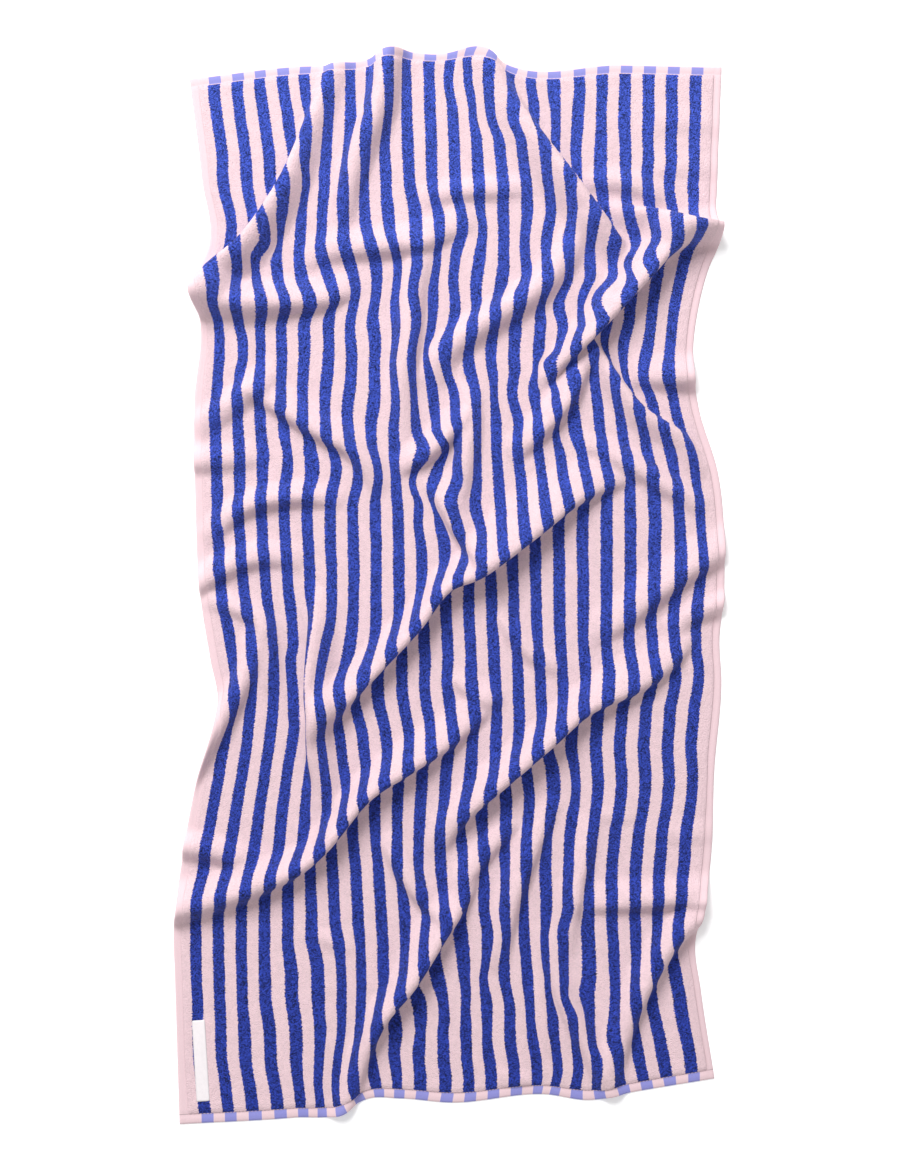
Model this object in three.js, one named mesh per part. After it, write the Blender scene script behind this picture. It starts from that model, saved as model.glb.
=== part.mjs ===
// A striped terry bath towel, laid out flat and left rumpled, with a bare woven label near one corner.
// Millimetres. +X runs across the towel, +Y along it and +Z up. The origin is on the surface that the
// towel lies on, under the middle of its bounding box.
//
// The towel is one closed sheet. A table of folds gives the height of the laid cloth over the surface,
// and a table of edge points gives its outline. The cloth's own grid is then settled between the edges,
// so that each cell keeps its length while it climbs the folds, and the sheet gets its thickness last.

import * as THREE from 'three';

// Cloth as cut and hemmed
const CUT_WIDTH = 700;
const CUT_LENGTH = 1400;
const THICKNESS = 3;

// Cells of the sheet across and along the cloth
const CELLS_ACROSS = 36;
const CELLS_ALONG = 76;

// Woven label, sewn flat on the cloth, turned with the stripe that it covers
const LABEL_WIDTH = 16;
const LABEL_LENGTH = 98;
const LABEL_THICKNESS = 0.8;
const LABEL_CORNER = 1.5;
const LABEL_GAP = 0.3;
const LABEL_CENTRE = [-304, -578];
const LABEL_TURN = THREE.MathUtils.degToRad(3.8);

// Large folds. A section is [x, y, height, left, right] on the crest: left and right are how far the
// fold spreads on each side of it, seen along the crest. The lean carries the crest to the right by
// that share of its height, so that the steep side stands or hangs over a little.
const LARGE_FOLDS = [
  { name: 'upper left roll', lean: 0.45, sections: [
    [-138, 673, 6, 22, 14],
    [-176, 582, 16, 22, 14],
    [-210, 504, 28, 22, 14],
    [-254, 437, 32, 22, 14],
    [-300, 396, 27, 24, 16],
    [-339, 359, 16, 26, 16],
  ] },
  { name: 'upper left ledge', lean: 0.2, sections: [
    [-352, 356, 22, 26, 26],
    [-290, 356, 26, 30, 30],
    [-247, 354, 26, 30, 32],
    [-204, 355, 22, 30, 22],
    [-155, 360, 16, 28, 18],
    [-110, 382, 0, 20, 16],
  ] },
  { name: 'top middle rise', lean: 0, sections: [
    [-75, 684, 24, 30, 22],
    [-89, 605, 24, 28, 20],
    [-112, 553, 20, 26, 18],
    [-130, 494, 15, 22, 16],
    [-145, 422, 0, 20, 16],
  ] },
  { name: 'top right diagonal', lean: 0.45, sections: [
    [222, 408, 0, 24, 14],
    [197, 449, 22, 26, 14],
    [156, 506, 29, 32, 14],
    [114, 560, 22, 34, 16],
    [70, 622, 12, 34, 18],
    [40, 688, 14, 34, 20],
  ] },
  { name: 'upper right roll', lean: 0.45, sections: [
    [104, 250, 0, 12, 14],
    [144, 284, 20, 13, 14],
    [184, 319, 32, 18, 14],
    [239, 378, 38, 26, 16],
    [286, 429, 31, 28, 22],
    [350, 447, 15, 26, 32],
  ] },
  { name: 'middle diagonal', lean: 0.45, sections: [
    [-178, -192, 0, 25, 20],
    [-132, -145, 22, 24, 18],
    [-87, -101, 28, 20, 14],
    [-40, -52, 32, 14, 14],
    [-3, -4, 32, 14, 14],
    [42, 16, 34, 32, 14],
    [108, 66, 33, 50, 15],
    [164, 112, 21, 45, 16],
    [236, 146, 0, 30, 16],
  ] },
  { name: 'lower right diagonal', lean: 0.4, sections: [
    [-22, -330, 0, 25, 16],
    [14, -284, 20, 25, 16],
    [69, -239, 30, 22, 15],
    [124, -192, 31, 20, 15],
    [171, -151, 26, 26, 15],
    [233, -121, 19, 38, 16],
    [276, -87, 13, 30, 16],
    [300, -46, 0, 24, 16],
  ] },
  { name: 'lower left diagonal', lean: 0.4, sections: [
    [-365, -403, 20, 30, 32],
    [-279, -381, 24, 26, 29],
    [-200, -353, 27, 18, 20],
    [-153, -321, 30, 14, 14],
    [-101, -259, 30, 18, 14],
    [-49, -224, 28, 28, 15],
    [2, -187, 18, 30, 17],
    [62, -126, 0, 22, 18],
  ] },
  { name: 'bottom roll', lean: 0.4, sections: [
    [-141, -682, 7, 16, 18],
    [-112, -588, 14, 16, 17],
    [-82, -530, 24, 14, 14],
    [-46, -487, 28, 20, 14],
    [-11, -431, 25, 30, 14],
    [20, -379, 12, 22, 12],
    [34, -334, 0, 20, 12],
  ] },
];

// Small folds, one row each: they rise from nothing at one end of the crest to their height and back.
const SMALL_FOLDS = [
  { name: 'corner tuck', lean: 0.55, height: 21, left: 24, right: 10,
    crest: [[385, 452], [310, 462], [236, 472], [192, 479]] },
  { name: 'upper shelf', lean: 0.1, height: 16, left: 28, right: 18,
    crest: [[-192, 406], [-143, 421], [-81, 426], [-25, 436], [31, 466]] },
  { name: 'upper ripple', lean: 0.1, height: 10, left: 18, right: 14,
    crest: [[-40, 483], [0, 494], [68, 498], [106, 503]] },
  { name: 'upper swell', lean: 0.1, height: 21, left: 22, right: 25,
    crest: [[-31, 246], [-4, 295], [52, 335], [111, 374], [146, 418], [164, 465]] },
  { name: 'centre upright', lean: 0, height: 17, left: 20, right: 22,
    crest: [[-35, 434], [-46, 368], [-54, 294], [-59, 238], [-51, 169]] },
  { name: 'centre hook', lean: 0.2, height: 18, left: 24, right: 13,
    crest: [[-70, 144], [-25, 167], [2, 194], [22, 225]] },
  { name: 'centre ripple', lean: 0, height: 14, left: 17, right: 18,
    crest: [[25, 257], [26, 213], [21, 167], [6, 93]] },
  { name: 'diagonal feeder', lean: 0.3, height: 17, left: 30, right: 13,
    crest: [[-25, 137], [-9, 104], [15, 62], [55, 17]] },
  { name: 'diagonal tail', lean: 0.45, height: 25, left: 28, right: 11,
    crest: [[-162, 2], [-174, -84], [-176, -139], [-172, -206], [-154, -275]] },
  { name: 'right swell', lean: 0.1, height: 17, left: 36, right: 16,
    crest: [[166, -67], [215, -40], [258, -6], [316, 33], [394, 70]] },
  { name: 'right edge ripple', lean: 0, height: 13, left: 16, right: 14,
    crest: [[264, -55], [307, -30], [381, -6]] },
  { name: 'bottom roll feeder', lean: 0.2, height: 14, left: 20, right: 12,
    crest: [[-84, -300], [-61, -346], [-27, -390], [10, -413]] },
  { name: 'lower pleat', lean: 0.1, height: 15, left: 25, right: 12,
    crest: [[58, -473], [76, -394], [98, -331], [130, -258]] },
  { name: 'lower second pleat', lean: 0.1, height: 12, left: 22, right: 12,
    crest: [[144, -455], [151, -388], [165, -334], [175, -279]] },
  { name: 'lower nick', lean: 0.2, height: 12, left: 20, right: 12,
    crest: [[0, -372], [34, -338], [61, -307], [83, -283]] },
  { name: 'lower right shelf', lean: 0.1, height: 15, left: 30, right: 14,
    crest: [[140, -389], [207, -387], [280, -382], [402, -370]] },
  { name: 'lower right roll', lean: 0.25, height: 21, left: 24, right: 14,
    crest: [[194, -610], [224, -520], [270, -439], [310, -403], [377, -369]] },
  { name: 'bottom crease', lean: 0.1, height: 12, left: 16, right: 16,
    crest: [[113, -412], [141, -503], [179, -581], [230, -683]] },
  { name: 'left diagonal', lean: 0.2, height: 18, left: 30, right: 12,
    crest: [[-264, 256], [-232, 235], [-163, 191], [-121, 167], [-84, 115]] },
  { name: 'left diagonal branch', lean: 0, height: 12, left: 20, right: 20,
    crest: [[-321, 197], [-282, 221], [-245, 250], [-210, 279]] },
  { name: 'left arch', lean: 0.1, height: 16, left: 22, right: 12,
    crest: [[-304, 56], [-259, 95], [-197, 111], [-129, 107]] },
  { name: 'left edge ripple', lean: 0, height: 11, left: 24, right: 16,
    crest: [[-383, 153], [-290, 158], [-228, 164]] },
  { name: 'left second arch', lean: 0.1, height: 14, left: 24, right: 14,
    crest: [[-350, -23], [-280, 21], [-231, 37], [-178, 32]] },
  { name: 'left hook', lean: 0.1, height: 12, left: 16, right: 12,
    crest: [[-307, -13], [-254, -30], [-229, -55], [-223, -132]] },
  { name: 'left edge roll', lean: 0.1, height: 21, left: 16, right: 18,
    crest: [[-371, -321], [-305, -202], [-275, -153], [-253, -108], [-236, -41]] },
  { name: 'left low ripple', lean: 0, height: 15, left: 20, right: 17,
    crest: [[-403, -315], [-317, -319], [-275, -327], [-224, -346]] },
  { name: 'right edge shelf', lean: 0.1, height: 20, left: 30, right: 20,
    crest: [[220, 267], [278, 262], [395, 263]] },
  { name: 'right tuck', lean: 0.45, height: 18, left: 20, right: 10,
    crest: [[316, 138], [288, 187], [240, 220], [204, 265], [160, 329]] },
  { name: 'right ripple', lean: 0.1, height: 14, left: 18, right: 14,
    crest: [[156, 185], [212, 161], [259, 130], [318, 94]] },
  { name: 'roll foot', lean: 0.2, height: 19, left: 25, right: 12,
    crest: [[74, 159], [117, 196], [150, 236], [178, 306]] },
  { name: 'inner nick', lean: 0.1, height: 10, left: 16, right: 12,
    crest: [[59, -25], [84, -65], [113, -92], [141, -102]] },
  { name: 'inner second nick', lean: 0.1, height: 9, left: 15, right: 12,
    crest: [[-2, -104], [31, -131], [66, -140]] },
  { name: 'top right ripple', lean: 0, height: 9, left: 20, right: 14,
    crest: [[162, 508], [218, 506], [271, 486]] },
];

// Outline of the laid towel, [x, y] down each long edge and along each hem, corners at the ends
const LEFT_EDGE = [
  [-326, 639], [-310, 516], [-302, 422], [-314, 395], [-316, 372], [-315, 356], [-311, 336], [-317, 234],
  [-315, 109], [-309, -3], [-295, -89], [-286, -138], [-291, -169], [-312, -243], [-329, -340],
  [-338, -420], [-336, -474], [-329, -654],
];
const RIGHT_EDGE = [
  [340, 654], [333, 498], [332, 466], [336, 450], [335, 430], [323, 402], [311, 360], [302, 270],
  [309, 221], [331, 146], [339, 35], [338, -9], [332, -64], [334, -114], [325, -218], [316, -359],
  [305, -410], [300, -433], [306, -492], [322, -599],
];
const TOP_HEM = [
  [-326, 639], [-195, 655], [-135, 658], [-105, 664], [-85, 672], [-15, 671], [30, 676], [50, 669],
  [69, 659], [213, 657], [340, 654],
];
const BOTTOM_HEM = [
  [-329, -654], [-190, -646], [-132, -640], [-117, -631], [-102, -624], [-61, -623], [0, -628], [117, -618],
  [171, -625], [219, -616], [322, -599],
];

// Profile of a fold's side: a narrow side is rounder at its crest than a wide one
const NARROW_SIDE = 14;
const WIDE_SIDE = 30;
const NARROW_POWER = 3;
const WIDE_POWER = 2;

// Points on a crest between two of its sections, and how fast a small fold rises at its ends
const CURVE_STEPS = 8;
const END_RISE = 0.75;

// Grid that holds the heights, and the settling of the cloth
const FIELD_STEP = 5;
const FIELD_HALF = [400, 720];
const SHEAR_STIFFNESS = 1;
const SLACK_STIFFNESS = 0.35;
const PULL = 1.6;
const MOMENTUM = 0.9;
const LATE_MOMENTUM = 0.3;
const EARLY_ROUNDS = 20;
const LATE_ROUNDS = 30;
const LENGTH_RATIO = [0.3, 3];
const COARSE = { rounds: 150, smoothing: 0.1 };
const FINE = { rounds: 400, smoothing: 0.02 };

function clamp(value, low, high) {
  return Math.min(high, Math.max(low, value));
}

function mix(a, b, t) {
  return a + (b - a) * t;
}

// Smooth curve through rows of numbers, every column alike
function curveThrough(rows) {
  const width = rows[0].length;
  const last = rows.length - 1;
  const before = rows[0].map((v, c) => 2 * v - rows[1][c]);
  const after = rows[last].map((v, c) => 2 * v - rows[last - 1][c]);
  const padded = [before, ...rows, after];
  const points = [];
  for (let i = 1; i <= last; i++) {
    for (let k = 0; k < CURVE_STEPS; k++) {
      const t = k / CURVE_STEPS;
      const point = [];
      for (let c = 0; c < width; c++) {
        const [a, b, d, e] = [padded[i - 1][c], padded[i][c], padded[i + 1][c], padded[i + 2][c]];
        const square = (2 * a - 5 * b + 4 * d - e) * t * t;
        const cube = (3 * b - a - 3 * d + e) * t * t * t;
        point.push(0.5 * (2 * b + (d - a) * t + square + cube));
      }
      points.push(point);
    }
  }
  points.push(rows[last]);
  return points;
}

// Crest of a small fold with its height and widths at every point
function smallFoldSections(fold) {
  const crest = curveThrough(fold.crest);
  const run = [0];
  for (let i = 1; i < crest.length; i++) {
    run.push(run[i - 1] + Math.hypot(crest[i][0] - crest[i - 1][0], crest[i][1] - crest[i - 1][1]));
  }
  const length = run[run.length - 1];
  return crest.map(([x, y], i) => {
    const rise = Math.sin(Math.PI * run[i] / length);
    const height = fold.height * Math.pow(Math.max(rise, 0), END_RISE);
    return [x, y, height, fold.left, fold.right];
  });
}

// Unit vectors that point to the right of the crest at each of its points
function rightHandNormals(crest) {
  const last = crest.length - 1;
  return crest.map((_, i) => {
    const a = crest[Math.max(i - 1, 0)];
    const b = crest[Math.min(i + 1, last)];
    const length = Math.hypot(b[0] - a[0], b[1] - a[1]);
    return [(b[1] - a[1]) / length, -(b[0] - a[0]) / length];
  });
}

// Height profile across a fold, 1 on the crest and 0 where the side ends
function sideProfile(distance, width) {
  const wide = clamp((width - NARROW_SIDE) / (WIDE_SIDE - NARROW_SIDE), 0, 1);
  const power = mix(NARROW_POWER, WIDE_POWER, wide);
  const s = Math.min(distance / width, 1);
  return (1 - Math.pow(s, power)) ** 2;
}

// Grid of heights and lean shifts over the surface that the towel lies on
function makeField() {
  const columns = 2 * FIELD_HALF[0] / FIELD_STEP + 1;
  const rows = 2 * FIELD_HALF[1] / FIELD_STEP + 1;
  const size = columns * rows;
  const field = { columns, rows };
  for (const layer of ['height', 'shiftX', 'shiftY']) {
    field[layer] = new Float64Array(size);
  }
  return field;
}

// Nearest place on a crest: its distance, which side it is on, and the fold's values there
function nearestOnCrest(crest, normals, x, y) {
  let best = null;
  let bestSquare = Infinity;
  for (let i = 0; i + 1 < crest.length; i++) {
    const a = crest[i];
    const b = crest[i + 1];
    const ex = b[0] - a[0];
    const ey = b[1] - a[1];
    const t = clamp(((x - a[0]) * ex + (y - a[1]) * ey) / (ex * ex + ey * ey), 0, 1);
    const rx = x - a[0] - t * ex;
    const ry = y - a[1] - t * ey;
    const square = rx * rx + ry * ry;
    if (square < bestSquare) {
      bestSquare = square;
      best = { i, t, rx, ry };
    }
  }
  const { i, t, rx, ry } = best;
  const nx = mix(normals[i][0], normals[i + 1][0], t);
  const ny = mix(normals[i][1], normals[i + 1][1], t);
  const side = rx * nx + ry * ny >= 0 ? 1 : -1;
  const [height, left, right] = [2, 3, 4].map((c) => mix(crest[i][c], crest[i + 1][c], t));
  return { distance: side * Math.sqrt(bestSquare), nx, ny, height: Math.max(height, 0), left, right };
}

// Adds one fold to the field. The profile starts short of the crest by what the lean carries it.
function addFold(field, sections, lean) {
  const normals = rightHandNormals(sections);
  const highest = Math.max(...sections.map((s) => s[2]));
  const reach = Math.max(...sections.map((s) => Math.max(s[3], s[4]))) + lean * highest;
  const xs = sections.map((s) => s[0]);
  const ys = sections.map((s) => s[1]);
  const toColumn = (x) => clamp(Math.round((x + FIELD_HALF[0]) / FIELD_STEP), 0, field.columns - 1);
  const toRow = (y) => clamp(Math.round((y + FIELD_HALF[1]) / FIELD_STEP), 0, field.rows - 1);
  const lastColumn = toColumn(Math.max(...xs) + reach);
  const lastRow = toRow(Math.max(...ys) + reach);
  for (let r = toRow(Math.min(...ys) - reach); r <= lastRow; r++) {
    for (let c = toColumn(Math.min(...xs) - reach); c <= lastColumn; c++) {
      const x = c * FIELD_STEP - FIELD_HALF[0];
      const y = r * FIELD_STEP - FIELD_HALF[1];
      const near = nearestOnCrest(sections, normals, x, y);
      const across = near.distance + lean * near.height;
      const width = across >= 0 ? near.right : near.left;
      const height = near.height * sideProfile(Math.abs(across), width);
      const cell = r * field.columns + c;
      field.height[cell] += height;
      field.shiftX[cell] += near.nx * lean * height;
      field.shiftY[cell] += near.ny * lean * height;
    }
  }
}

// Rounds a layer of the field a little, as thick terry does not crease sharply
function soften(field, layer) {
  const { columns, rows } = field;
  for (const [stepAcross, stepAlong] of [[1, 0], [0, 1]]) {
    const old = field[layer].slice();
    const neighbour = stepAcross + stepAlong * columns;
    for (let r = stepAlong; r < rows - stepAlong; r++) {
      for (let c = stepAcross; c < columns - stepAcross; c++) {
        const cell = r * columns + c;
        field[layer][cell] = (old[cell - neighbour] + 2 * old[cell] + old[cell + neighbour]) / 4;
      }
    }
  }
}

function foldedField() {
  const field = makeField();
  for (const fold of LARGE_FOLDS) {
    addFold(field, curveThrough(fold.sections), fold.lean);
  }
  for (const fold of SMALL_FOLDS) {
    addFold(field, smallFoldSections(fold), fold.lean);
  }
  for (const layer of ['height', 'shiftX', 'shiftY']) {
    soften(field, layer);
  }
  return field;
}

// Where the cloth over a place (x, y) really is: [x, y, z] of the middle of its thickness
function clothPoint(field, x, y) {
  const column = (x + FIELD_HALF[0]) / FIELD_STEP;
  const line = (y + FIELD_HALF[1]) / FIELD_STEP;
  const lower = clamp(Math.floor(line), 0, field.rows - 2);
  const left = clamp(Math.floor(column), 0, field.columns - 2);
  const cell = lower * field.columns + left;
  const read = (layer) => mix(
    mix(field[layer][cell], field[layer][cell + 1], column - left),
    mix(field[layer][cell + field.columns], field[layer][cell + field.columns + 1], column - left),
    line - lower,
  );
  return [x + read('shiftX'), y + read('shiftY'), read('height') + THICKNESS / 2];
}

// Smooth value of an edge table at a place on it. from and to are the columns that it reads.
function edgeReader(table, from, to) {
  const rows = table.map((row) => [row[from], row[to]]).sort((a, b) => a[0] - b[0]);
  const last = rows.length - 1;
  const slopes = rows.map((_, i) => {
    const a = rows[Math.max(i - 1, 0)];
    const b = rows[Math.min(i + 1, last)];
    return (b[1] - a[1]) / (b[0] - a[0]);
  });
  return (place) => {
    let k = 0;
    while (k < last - 1 && rows[k + 1][0] < place) {
      k += 1;
    }
    const span = rows[k + 1][0] - rows[k][0];
    const t = clamp((place - rows[k][0]) / span, 0, 1);
    const start = (1 + 2 * t) * (1 - t) ** 2 * rows[k][1] + t * (1 - t) ** 2 * span * slopes[k];
    const end = t * t * (3 - 2 * t) * rows[k + 1][1] + t * t * (t - 1) * span * slopes[k + 1];
    return start + end;
  };
}

const EDGES = {
  left: edgeReader(LEFT_EDGE, 1, 0),
  right: edgeReader(RIGHT_EDGE, 1, 0),
  top: edgeReader(TOP_HEM, 0, 1),
  bottom: edgeReader(BOTTOM_HEM, 0, 1),
};
const CORNERS = {
  bottomLeft: BOTTOM_HEM[0],
  bottomRight: BOTTOM_HEM[BOTTOM_HEM.length - 1],
  topLeft: TOP_HEM[0],
  topRight: TOP_HEM[TOP_HEM.length - 1],
};

// Cloth grid as a list of [x, y], row by row from the bottom hem
function makeCloth(across, along) {
  return { across, along, points: new Array((across + 1) * (along + 1)) };
}

// First guess: a grid blended from the four edges
function spreadCloth(across, along) {
  const cloth = makeCloth(across, along);
  const { bottomLeft, bottomRight, topLeft, topRight } = CORNERS;
  for (let j = 0; j <= along; j++) {
    for (let i = 0; i <= across; i++) {
      const s = i / across;
      const t = j / along;
      const leftY = mix(bottomLeft[1], topLeft[1], t);
      const rightY = mix(bottomRight[1], topRight[1], t);
      const bottomX = mix(bottomLeft[0], bottomRight[0], s);
      const topX = mix(topLeft[0], topRight[0], s);
      const sides = [
        mix(EDGES.left(leftY), EDGES.right(rightY), s) + mix(bottomX, topX, t),
        mix(leftY, rightY, s) + mix(EDGES.bottom(bottomX), EDGES.top(topX), t),
      ];
      const twice = [0, 1].map((c) => mix(
        mix(bottomLeft[c], bottomRight[c], s),
        mix(topLeft[c], topRight[c], s),
        t,
      ));
      cloth.points[j * (across + 1) + i] = [sides[0] - twice[0], sides[1] - twice[1]];
    }
  }
  return cloth;
}

// Same cloth with twice as many cells each way
function refineCloth(cloth) {
  const fine = makeCloth(cloth.across * 2, cloth.along * 2);
  const coarseRow = cloth.across + 1;
  for (let j = 0; j <= fine.along; j++) {
    for (let i = 0; i <= fine.across; i++) {
      const rows = [Math.floor(j / 2), Math.ceil(j / 2)];
      const columns = [Math.floor(i / 2), Math.ceil(i / 2)];
      const around = rows.flatMap((r) => columns.map((c) => cloth.points[r * coarseRow + c]));
      fine.points[j * (fine.across + 1) + i] = [0, 1].map((axis) => {
        return around.reduce((sum, point) => sum + point[axis], 0) / around.length;
      });
    }
  }
  return fine;
}

// Slides the rim of the cloth back on the outline
function holdEdges(cloth) {
  const { across, along, points } = cloth;
  const row = across + 1;
  for (let j = 1; j < along; j++) {
    const left = points[j * row];
    const right = points[j * row + across];
    left[0] = EDGES.left(left[1]);
    right[0] = EDGES.right(right[1]);
  }
  for (let i = 1; i < across; i++) {
    const bottom = points[i];
    const top = points[along * row + i];
    bottom[1] = EDGES.bottom(bottom[0]);
    top[1] = EDGES.top(top[0]);
  }
  points[0] = [...CORNERS.bottomLeft];
  points[across] = [...CORNERS.bottomRight];
  points[along * row] = [...CORNERS.topLeft];
  points[along * row + across] = [...CORNERS.topRight];
}

// Threads that keep their length: along both sides of each cell and both its diagonals
function clothThreads(cloth) {
  const { across, along } = cloth;
  const row = across + 1;
  const width = CUT_WIDTH / across;
  const height = CUT_LENGTH / along;
  const diagonal = Math.hypot(width, height);
  const threads = [];
  for (let j = 0; j <= along; j++) {
    for (let i = 0; i <= across; i++) {
      const here = j * row + i;
      if (i < across) {
        threads.push({ a: here, b: here + 1, length: width, stiffness: 1 });
      }
      if (j < along) {
        threads.push({ a: here, b: here + row, length: height, stiffness: 1 });
      }
      if (i < across && j < along) {
        threads.push({ a: here, b: here + row + 1, length: diagonal, stiffness: SHEAR_STIFFNESS });
        threads.push({ a: here + 1, b: here + row, length: diagonal, stiffness: SHEAR_STIFFNESS });
      }
    }
  }
  return threads;
}

// How far each point wants to move so that its threads have their length on the folds
function threadPull(cloth, field, threads) {
  const { points } = cloth;
  const raised = points.map(([x, y]) => clothPoint(field, x, y));
  const pull = points.map(() => [0, 0, 0]);
  for (const { a, b, length, stiffness } of threads) {
    const dx = points[b][0] - points[a][0];
    const dy = points[b][1] - points[a][1];
    const now = Math.hypot(...[0, 1, 2].map((c) => raised[b][c] - raised[a][c]));
    const ratio = clamp(length / now, ...LENGTH_RATIO);
    const share = 0.5 * (ratio - 1) * stiffness * (ratio > 1 ? SLACK_STIFFNESS : 1);
    pull[b][0] += share * dx;
    pull[b][1] += share * dy;
    pull[a][0] -= share * dx;
    pull[a][1] -= share * dy;
    pull[a][2] += stiffness;
    pull[b][2] += stiffness;
  }
  return pull.map(([x, y, weight]) => [PULL * x / weight, PULL * y / weight]);
}

// Moves each inner point a little towards the middle of its neighbours
function smoothCloth(cloth, amount) {
  const { across, along, points } = cloth;
  const row = across + 1;
  const old = points.map((point) => [...point]);
  for (let j = 1; j < along; j++) {
    for (let i = 1; i < across; i++) {
      const here = j * row + i;
      for (const axis of [0, 1]) {
        const besides = old[here - 1][axis] + old[here + 1][axis];
        const aboveBelow = old[here - row][axis] + old[here + row][axis];
        points[here][axis] += amount * ((besides + aboveBelow) / 4 - old[here][axis]);
      }
    }
  }
}

// Settles the cloth between its edges, with momentum so that slack travels far
function settleCloth(cloth, field, { rounds, smoothing }) {
  const threads = clothThreads(cloth);
  let previous = cloth.points.map((point) => [...point]);
  for (let round = 0; round < rounds; round++) {
    const late = round >= rounds - LATE_ROUNDS;
    const momentum = late ? LATE_MOMENTUM : MOMENTUM * Math.min(1, round / EARLY_ROUNDS);
    const pull = threadPull(cloth, field, threads);
    const old = cloth.points.map((point) => [...point]);
    cloth.points.forEach((point, k) => {
      for (const axis of [0, 1]) {
        point[axis] += pull[k][axis] + momentum * (old[k][axis] - previous[k][axis]);
      }
    });
    previous = old;
    smoothCloth(cloth, smoothing);
    holdEdges(cloth);
  }
  return cloth;
}

// Unit normal of the raised cloth at a grid point
function clothNormal(raised, across, along, i, j) {
  const at = (column, line) => new THREE.Vector3(...raised[line * (across + 1) + column]);
  const alongX = at(Math.min(i + 1, across), j).sub(at(Math.max(i - 1, 0), j));
  const alongY = at(i, Math.min(j + 1, along)).sub(at(i, Math.max(j - 1, 0)));
  return alongX.cross(alongY).normalize();
}

// Corners of a cell, started so that the first diagonal is the one nearer to the cloth in its middle
function turnedToFold(cell, cloth, field, raised) {
  const [x, y] = [0, 1].map((axis) => {
    return cell.reduce((sum, k) => sum + cloth.points[k][axis], 0) / cell.length;
  });
  const centre = clothPoint(field, x, y);
  const [a, b, c, d] = cell;
  const miss = (p, q) => Math.hypot(...centre.map((v, k) => (raised[p][k] + raised[q][k]) / 2 - v));
  return miss(a, c) <= miss(b, d) ? [a, b, c, d] : [b, c, d, a];
}

// Closed sheet from the settled cloth: a top and a bottom grid joined around the rim
function sheetGeometry(cloth, field) {
  const { across, along } = cloth;
  const row = across + 1;
  const raised = cloth.points.map(([x, y]) => clothPoint(field, x, y));
  const count = raised.length;
  const positions = new Float32Array(count * 6);
  for (let j = 0; j <= along; j++) {
    for (let i = 0; i <= across; i++) {
      const here = j * row + i;
      const middle = new THREE.Vector3(...raised[here]);
      const half = clothNormal(raised, across, along, i, j).multiplyScalar(THICKNESS / 2);
      const top = middle.clone().add(half);
      const bottom = middle.clone().sub(half);
      positions.set(top.toArray(), here * 3);
      positions.set(bottom.toArray(), (count + here) * 3);
    }
  }
  const triangles = [];
  const addQuad = (a, b, c, d) => triangles.push(a, b, c, a, c, d);
  for (let j = 0; j < along; j++) {
    for (let i = 0; i < across; i++) {
      const first = j * row + i;
      const cell = [first, first + 1, first + row + 1, first + row];
      const [a, b, c, d] = turnedToFold(cell, cloth, field, raised);
      addQuad(a, b, c, d);
      addQuad(count + a, count + d, count + c, count + b);
    }
  }
  const rim = [];
  for (let i = 0; i < across; i++) {
    rim.push(i);
  }
  for (let j = 0; j < along; j++) {
    rim.push(j * row + across);
  }
  for (let i = across; i > 0; i--) {
    rim.push(along * row + i);
  }
  for (let j = along; j > 0; j--) {
    rim.push(j * row);
  }
  rim.forEach((a, k) => {
    const b = rim[(k + 1) % rim.length];
    addQuad(a, count + a, count + b, b);
  });
  const geometry = new THREE.BufferGeometry();
  geometry.setAttribute('position', new THREE.BufferAttribute(positions, 3));
  geometry.setIndex(triangles);
  geometry.computeVertexNormals();
  return geometry;
}

function makeTowel() {
  const field = foldedField();
  const coarse = settleCloth(spreadCloth(CELLS_ACROSS / 2, CELLS_ALONG / 2), field, COARSE);
  const fine = settleCloth(refineCloth(coarse), field, FINE);
  const terry = new THREE.MeshStandardMaterial({ color: 0xf4d3da, roughness: 0.95, metalness: 0 });
  const towel = new THREE.Mesh(sheetGeometry(fine, field), terry);
  towel.name = 'towel';
  return towel;
}

// Flat rectangle with rounded corners
function makeLabel() {
  const [halfWidth, halfLength] = [LABEL_WIDTH / 2, LABEL_LENGTH / 2];
  const outline = new THREE.Shape();
  const corners = [[1, -1, -90], [1, 1, 0], [-1, 1, 90], [-1, -1, 180]];
  for (const [sideX, sideY, start] of corners) {
    const x = sideX * (halfWidth - LABEL_CORNER);
    const y = sideY * (halfLength - LABEL_CORNER);
    const from = THREE.MathUtils.degToRad(start);
    outline.absarc(x, y, LABEL_CORNER, from, from + Math.PI / 2, false);
  }
  const options = { depth: LABEL_THICKNESS, bevelEnabled: false, curveSegments: 4 };
  const tape = new THREE.MeshStandardMaterial({ color: 0xf7f4f2, roughness: 0.8, metalness: 0 });
  const label = new THREE.Mesh(new THREE.ExtrudeGeometry(outline, options), tape);
  label.name = 'label';
  label.position.set(...LABEL_CENTRE, THICKNESS + LABEL_GAP);
  label.rotation.z = LABEL_TURN;
  return label;
}

const bathTowel = new THREE.Group();
const towel = makeTowel();
bathTowel.add(towel, makeLabel());
towel.geometry.computeBoundingBox();
const middle = towel.geometry.boundingBox.getCenter(new THREE.Vector3());
bathTowel.position.set(-middle.x, -middle.y, 0);
bathTowel.updateMatrixWorld(true);

export default bathTowel;
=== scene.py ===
import math

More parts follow.
